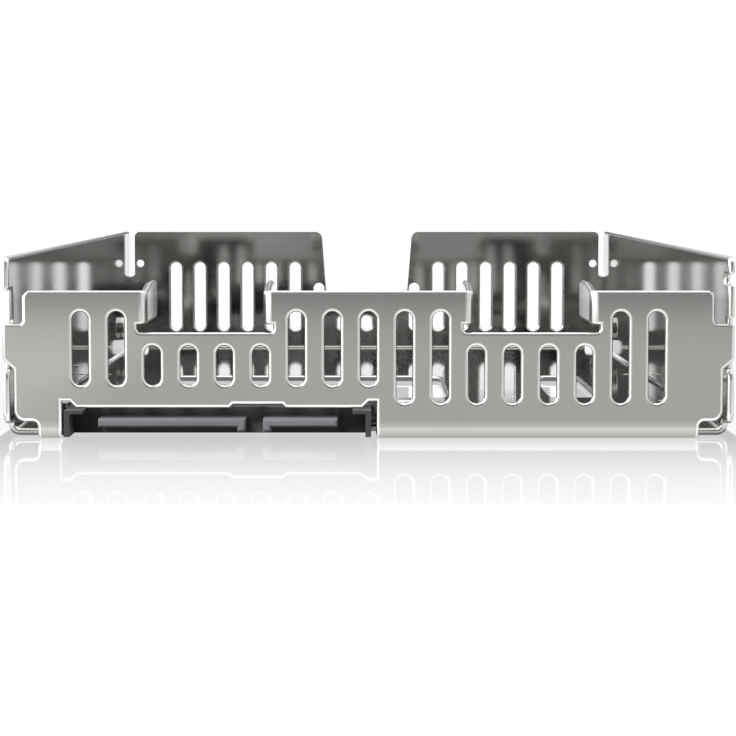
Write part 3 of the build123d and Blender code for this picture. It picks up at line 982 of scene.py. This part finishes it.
@dataclass
class BoardScrews:
    """Two pan-head screws with cross recesses and rolled threads, which hold the board down."""

    node: str = "board_screws"
    board: str = "adapter_board"
    facets: int = 48
    crown: float = 0.5 * MM
    crown_steps: int = 5
    core: float = 1.02 * MM
    tooth: float = 0.18 * MM
    tip_steps: int = 2
    pitch: float = 0.45 * MM
    arm: float = 0.5 * MM
    arm_reach: float = 0.9 * MM
    recess: float = 0.8 * MM
    recess_taper: float = 0.5
    smooth_turn: float = math.radians(35)

    def blank(self, radius: float, tip: float, seat: float, top: float) -> Piece:
        """Model the head and the core of one screw.

        Args:
            radius: radius of the head.
            tip: height of the screw's lower end.
            seat: height of the face under the head.
            top: height of the head's top.

        Returns:
            The screw without its recess and thread.
        """
        size = {"radius": radius, "depth": top - seat, "location": (0, 0, (top + seat) / 2)}
        bpy.ops.mesh.primitive_cylinder_add(vertices=self.facets, **size)
        blank = Bench.started("screw_blank")
        with Bench.editing(blank):
            middle = (top + seat) / 2
            Bench.choose_edges(blank, lambda edge: all(corner.co.z > middle for corner in edge.verts))
            bpy.ops.mesh.bevel(offset=self.crown, segments=self.crown_steps, affect="EDGES")
            Bench.choose_faces(blank, lambda face: face.normal.z < -Bench.facing)
            bpy.ops.mesh.inset(thickness=radius - self.core)
            down = {"value": (0, 0, tip - seat)}
            bpy.ops.mesh.extrude_region_move(TRANSFORM_OT_translate=down)
            bpy.ops.mesh.bevel(offset=self.tooth, segments=self.tip_steps, affect="EDGES")
        return blank

    def cutter(self, top: float) -> Piece:
        """Model the tapered cross that cuts the recess.

        Args:
            top: height of the head's top.

        Returns:
            The cross.
        """
        side = (self.arm, self.arm, 2 * self.recess)
        bpy.ops.mesh.primitive_cube_add(size=1, location=(0, 0, top), scale=side)
        cross = Bench.started("recess_cross")
        with Bench.editing(cross):
            Bench.choose_faces(cross, lambda face: abs(face.normal.z) < Bench.facing)
            bpy.ops.mesh.extrude_faces_move(TRANSFORM_OT_shrink_fatten={"value": self.arm_reach})
            Bench.choose_faces(cross, lambda face: face.calc_center_median().z < top - self.recess / 2)
            bpy.ops.transform.resize(value=(self.recess_taper, self.recess_taper, 1))
        return cross

    def build(self) -> Piece:
        """Model one screw and set a copy at each place.

        Returns:
            Both screws as one piece.
        """
        low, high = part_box(self.node)
        radius = (high.y - low.y) / 2
        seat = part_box(self.board)[1].z
        screw = self.blank(radius, low.z, seat, high.z)
        cross = self.cutter(high.z)
        Bench.pick(screw)
        cut = screw.modifiers.new("recess", "BOOLEAN")
        cut.object = cross
        bpy.ops.object.modifier_apply(modifier=cut.name)
        bpy.data.meshes.remove(cross.data)
        span = (low.z + self.tooth, seat)
        thread = Bench.helix("screw_thread", self.core, self.tooth, self.pitch, span)
        screw = Bench.join([screw, thread], "screw")
        middle = (low.y + high.y) / 2
        places = [(Vector((x, middle, 0)), UP) for x in (low.x + radius, high.x - radius)]
        screws = Bench.copies(screw, "screws", places)
        Bench.smooth(screws, self.smooth_turn)
        return screws

    def dress(self, piece: Piece) -> None:
        """Plate the screws."""
        Bench.dress(piece, ZINC.material(), Slot.ZINC, self.node)


@dataclass
class TappedThreads:
    """Threads in the holes that take the bay's own screws."""

    patterns: tuple[str, ...] = BAY_SCREWS
    radius: float = 1.4 * MM
    tooth: float = 0.14 * MM
    pitch: float = 0.5 * MM
    setback: float = 0.1 * MM
    sheet: float = 1.0 * MM
    collar: float = 0.8 * MM
    smooth_turn: float = math.radians(50)

    def build(self) -> Piece:
        """Wind a ridge for each pattern and set it in each hole.

        Returns:
            All threads as one piece.
        """
        threads = []
        for pattern in self.patterns:
            places = bolt_places(pattern)
            depth = self.sheet + (self.collar if places[0][1].x else 0)
            span = (self.setback, depth - self.setback)
            ridge = Bench.helix("thread_ridge", self.radius, self.tooth, self.pitch, span)
            threads.append(Bench.copies(ridge, pattern, places))
        piece = Bench.join(threads, "tapped_threads")
        Bench.smooth(piece, self.smooth_turn)
        return piece

    def dress(self, piece: Piece) -> None:
        """Plate the threads as the sheet is."""
        Bench.dress(piece, STEEL.material(), Slot.STEEL)


@dataclass
class SolderJoints:
    """Solder over the contact tails of both connectors."""

    board: str = "adapter_board"
    rows: tuple[tuple[str, int], ...] = (
        ("plug_power_contacts", 1),
        ("plug_data_contacts", 1),
        ("receptacle_power_contacts", -1),
        ("receptacle_data_contacts", -1),
    )
    toe: float = 0.12 * MM
    side: float = 0.11 * MM
    length: float = 1.1 * MM
    height: float = 0.26 * MM
    crown: float = 0.72
    cuts: int = 2
    slump: float = 0.5
    slump_steps: int = 2
    side_digits: int = 2
    smooth_turn: float = math.radians(60)

    def bead(self, width: float) -> Piece:
        """Model the bead of solder over one tail.

        Args:
            width: width of the bead at the board.

        Returns:
            The bead, with its foot at the origin.
        """
        size = (width, self.length, self.height)
        bpy.ops.mesh.primitive_cube_add(size=1, location=(0, 0, self.height / 2), scale=size)
        bead = Bench.started("solder_bead")
        with Bench.editing(bead):
            Bench.choose_faces(bead, lambda face: face.normal.z > Bench.facing)
            bpy.ops.transform.resize(value=(self.crown, self.crown, 1))
            Bench.choose_faces(bead, lambda face: face.normal.z > -Bench.facing)
            bpy.ops.mesh.subdivide(number_cuts=self.cuts)
            slump = {"factor": self.slump, "repeat": self.slump_steps}
            bpy.ops.mesh.vertices_smooth(**slump, xaxis=False, yaxis=False)
        return bead

    def build(self) -> Piece:
        """Set a bead over each tail.

        Returns:
            All the solder as one piece.
        """
        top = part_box(self.board)[1].z
        places = []
        for node, end in self.rows:
            corners = [corner.co for corner in frame["nodes"][node].data.vertices]
            sides = sorted({round(corner.x / MM, self.side_digits) * MM for corner in corners})
            tip = max(corner.y * end for corner in corners) * end
            middle = tip + end * (self.toe - self.length / 2)
            width = sides[1] - sides[0] + 2 * self.side
            pairs = zip(sides[::2], sides[1::2])
            places += [(Vector(((left + right) / 2, middle, top)), UP) for left, right in pairs]
        piece = Bench.copies(self.bead(width), "solder_joints", places)
        Bench.smooth(piece, self.smooth_turn)
        return piece

    def dress(self, piece: Piece) -> None:
        """Give the solder its bright tin."""
        Bench.dress(piece, SOLDER.material(), Slot.TIN)


@dataclass(frozen=True)
class SoftBox:
    """A soft box that faces a point, with a level for how bright its face looks."""

    name: str
    place: Place
    sides: Pair
    level: float
    aim: Place
    mirrored: bool = True

    def build(self) -> None:
        """Hang the soft box."""
        light = bpy.data.lights.new(self.name, "AREA")
        light.shape = "RECTANGLE"
        light.size, light.size_y = self.sides
        light.energy = self.level * math.pi * math.prod(self.sides)
        box = bpy.data.objects.new(self.name, light)
        box.location = self.place
        box.rotation_euler = (Vector(self.aim) - Vector(self.place)).to_track_quat("-Z", "Y").to_euler()
        box.visible_glossy = self.mirrored
        bpy.context.scene.collection.objects.link(box)


@dataclass(frozen=True)
class Card:
    """A card that only shows in reflections, flat at a tilt of 0 and otherwise turned about X."""

    name: str
    place: Place
    sides: Pair
    tilt: float
    level: float

    def build(self) -> None:
        """Set up the card."""
        bpy.ops.mesh.primitive_plane_add(size=1, location=self.place, rotation=(self.tilt, 0, 0))
        bpy.context.view_layer.objects.active.scale = (*self.sides, 1)
        card = Bench.started(self.name)
        card.visible_camera = False
        card.visible_diffuse = False
        graph = Graph(self.name)
        graph.set(Base_Color=grey(0.0), Specular_IOR_Level=0.0)
        graph.set(Emission_Color=grey(self.level), Emission_Strength=1.0)
        card.data.materials.append(graph.material)


@dataclass
class Studio:
    """Pale floor, soft boxes, cards, a white surround and the camera of the photograph."""

    eye: Place = (-0.76 * MM, -354.2 * MM, 35.6 * MM)
    tilt: float = math.radians(3.97)
    lens: float = 99.4
    shift: Pair = (0.0068, -0.06)
    floor_side: float = 2.4
    floor_back: float = 0.28
    floor_drop: float = 0.05 * MM
    floor_colour: Colour = (0.01, 0.01, 0.01)
    floor_glow: float = 1.0
    floor_bounce: float = 0.15
    floor_gloss: float = 0.04
    shine: Levels = (
        (-0.132, 0.0), (-0.1295, 0.18), (-0.111, 0.35), (-0.0735, 0.85),
        (0.0735, 0.85), (0.13, 0.0),
    )
    shine_sides: Levels = ((-0.12, 0.0), (-0.06, 1.0), (0.06, 1.0), (0.12, 0.0))
    side_glow: Levels = ((-0.058, 1.25), (-0.042, 1.0))
    lights: tuple[SoftBox, ...] = (
        SoftBox("top_box", (0.0, 0.02, 0.4), (0.8, 0.5), 1.5, aim=(0.0, 0.02, 0.0)),
        SoftBox("key_box", (-0.2, -0.5, 0.36), (0.25, 0.2), 68.0, aim=(0.0, 0.0, 0.0), mirrored=False),
        SoftBox("left_box", (-0.3, -0.2, 0.16), (0.8, 0.32), 3.0, aim=(0.0, -0.2, 0.16)),
        SoftBox("right_box", (0.34, -0.15, 0.16), (0.7, 0.32), 0.6, aim=(0.0, -0.15, 0.16)),
    )
    cards: tuple[Card, ...] = (
        Card("back_card", (0.0, 0.35, 0.07), (0.36, 0.055), tilt=math.pi / 2, level=0.0),
        Card("left_card", (-0.232, 0.1, 0.0), (0.36, 0.36), tilt=0.0, level=0.9),
        Card("right_card", (0.232, 0.1, 0.0), (0.36, 0.36), tilt=0.0, level=0.9),
    )
    backdrop: float = 1.05
    room: Levels = (
        (-1.0, 0.25), (-0.4, 0.32), (0.0, 0.5), (0.4, 0.78),
        (0.93, 0.78), (0.98, 1.15), (1.0, 1.15),
    )
    lit_floor: Levels = (
        (-0.45, 0.5), (-0.3, 0.88), (-0.2, 0.98), (-0.095, 0.96),
        (-0.083, 1.7), (-0.074, 1.7), (-0.072, 0.25), (0.072, 0.25),
        (0.08, 0.9), (0.28, 0.9),
    )

    def camera(self) -> None:
        """Stand the camera where the photograph was taken from."""
        lens = bpy.data.cameras.new("camera")
        lens.lens = self.lens
        lens.shift_x, lens.shift_y = self.shift
        lens.clip_start = MM
        camera = bpy.data.objects.new("camera", lens)
        camera.location = self.eye
        camera.rotation_euler = (math.pi / 2 - self.tilt, 0, 0)
        bpy.context.scene.collection.objects.link(camera)
        bpy.context.scene.camera = camera

    def floor(self) -> None:
        """Lay a pale lit floor that shines faintly in front of the bracket and is clear from below."""
        middle = (0, self.floor_back - self.floor_side / 2, -self.floor_drop)
        bpy.ops.mesh.primitive_plane_add(size=self.floor_side, location=middle)
        floor = Bench.started("floor")
        graph = Graph("floor")
        across, along, _ = graph.add("ShaderNodeSeparateXYZ", {"Vector": graph.place}).outputs
        below = graph.add("ShaderNodeNewGeometry").outputs["Backfacing"]
        seen = graph.add("ShaderNodeMath", {0: 1.0, 1: below}, operation="SUBTRACT").outputs[0]
        graph.set(Base_Color=(*self.floor_colour, 1), Roughness=1.0, Specular_IOR_Level=0.0, Alpha=seen)
        graph.set(Emission_Color=grey(1.0), Emission_Strength=self.floor_glow)
        shine = graph.limited(self.shine, self.shine_sides)
        graph.set(Coat_Weight=shine, Coat_Roughness=self.floor_gloss)
        # The camera sees the shader above, and reflections see a floor that is lit in bands.
        ray = graph.add("ShaderNodeLightPath").outputs
        glow = graph.ramp(across, self.side_glow)
        inputs = {"Value": ray["Is Diffuse Ray"], "To Min": glow, "To Max": self.floor_bounce}
        bounce = graph.add("ShaderNodeMapRange", inputs).outputs["Result"]
        inputs = {"Color": graph.ramp(along, self.lit_floor), "Strength": bounce}
        mirrored = graph.add("ShaderNodeEmission", inputs).outputs["Emission"]
        inputs = {0: ray["Is Camera Ray"], 1: mirrored, 2: graph.shader.outputs["BSDF"]}
        either = graph.add("ShaderNodeMixShader", inputs)
        graph.tree.links.new(either.outputs["Shader"], graph.surface)
        floor.data.materials.append(graph.material)

    def surround(self) -> None:
        """Make a white backdrop, and a room that is darker on the camera's side for reflections."""
        world = bpy.data.worlds.new("surround")
        bpy.context.scene.world = world
        world.use_nodes = True
        nodes = Nodes(world.node_tree)
        place = nodes.add("ShaderNodeTexCoord").outputs["Generated"]
        along = nodes.add("ShaderNodeSeparateXYZ", {"Vector": place}).outputs["Y"]
        room = nodes.add("ShaderNodeBackground", {"Color": nodes.ramp(along, self.room)})
        backdrop = nodes.add("ShaderNodeBackground", {"Color": grey(self.backdrop)})
        seen = nodes.add("ShaderNodeLightPath").outputs["Is Camera Ray"]
        inputs = {0: seen, 1: room.outputs["Background"], 2: backdrop.outputs["Background"]}
        either = nodes.add("ShaderNodeMixShader", inputs)
        nodes.add("ShaderNodeOutputWorld", {"Surface": either.outputs["Shader"]})

    def build(self) -> None:
        """Set up the whole studio."""
        self.camera()
        self.floor()
        for prop in (*self.lights, *self.cards):
            prop.build()
        self.surround()
        bpy.context.scene.view_settings.view_transform = "Standard"


def sub_assemblies() -> list[FoldedTray | SoftenedNode | BoardScrews | TappedThreads | SolderJoints]:
    """List the bracket's sub-assemblies in the order in which they are built."""
    board = SoftenedNode("adapter_board", "board_panel", MASK, Slot.BOARD, edge=0.08 * MM)
    connectors = []
    for end, contact in (("plug", "strips"), ("receptacle", "beams")):
        connectors += [
            SoftenedNode(f"{end}_housing", f"{end}_moulding", PLASTIC, Slot.PLASTIC, edge=0.05 * MM),
            SoftenedNode(f"{end}_power_contacts", f"{end}_power_{contact}", GOLD, Slot.GOLD, edge=0.04 * MM),
            SoftenedNode(f"{end}_data_contacts", f"{end}_data_{contact}", GOLD, Slot.GOLD, edge=0.04 * MM),
            SoftenedNode(f"{end}_board_locks", f"{end}_lock_pins", TIN, Slot.TIN, edge=0.08 * MM),
        ]
    return [FoldedTray(), board, *connectors, BoardScrews(), TappedThreads(), SolderJoints()]


def main() -> None:
    """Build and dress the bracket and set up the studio."""
    logging.basicConfig(level=logging.INFO, format="%(name)s %(message)s")
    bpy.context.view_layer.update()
    for assembly in sub_assemblies():
        assembly.dress(assembly.build())
    Studio().build()


if __name__ == "__main__":
    main()
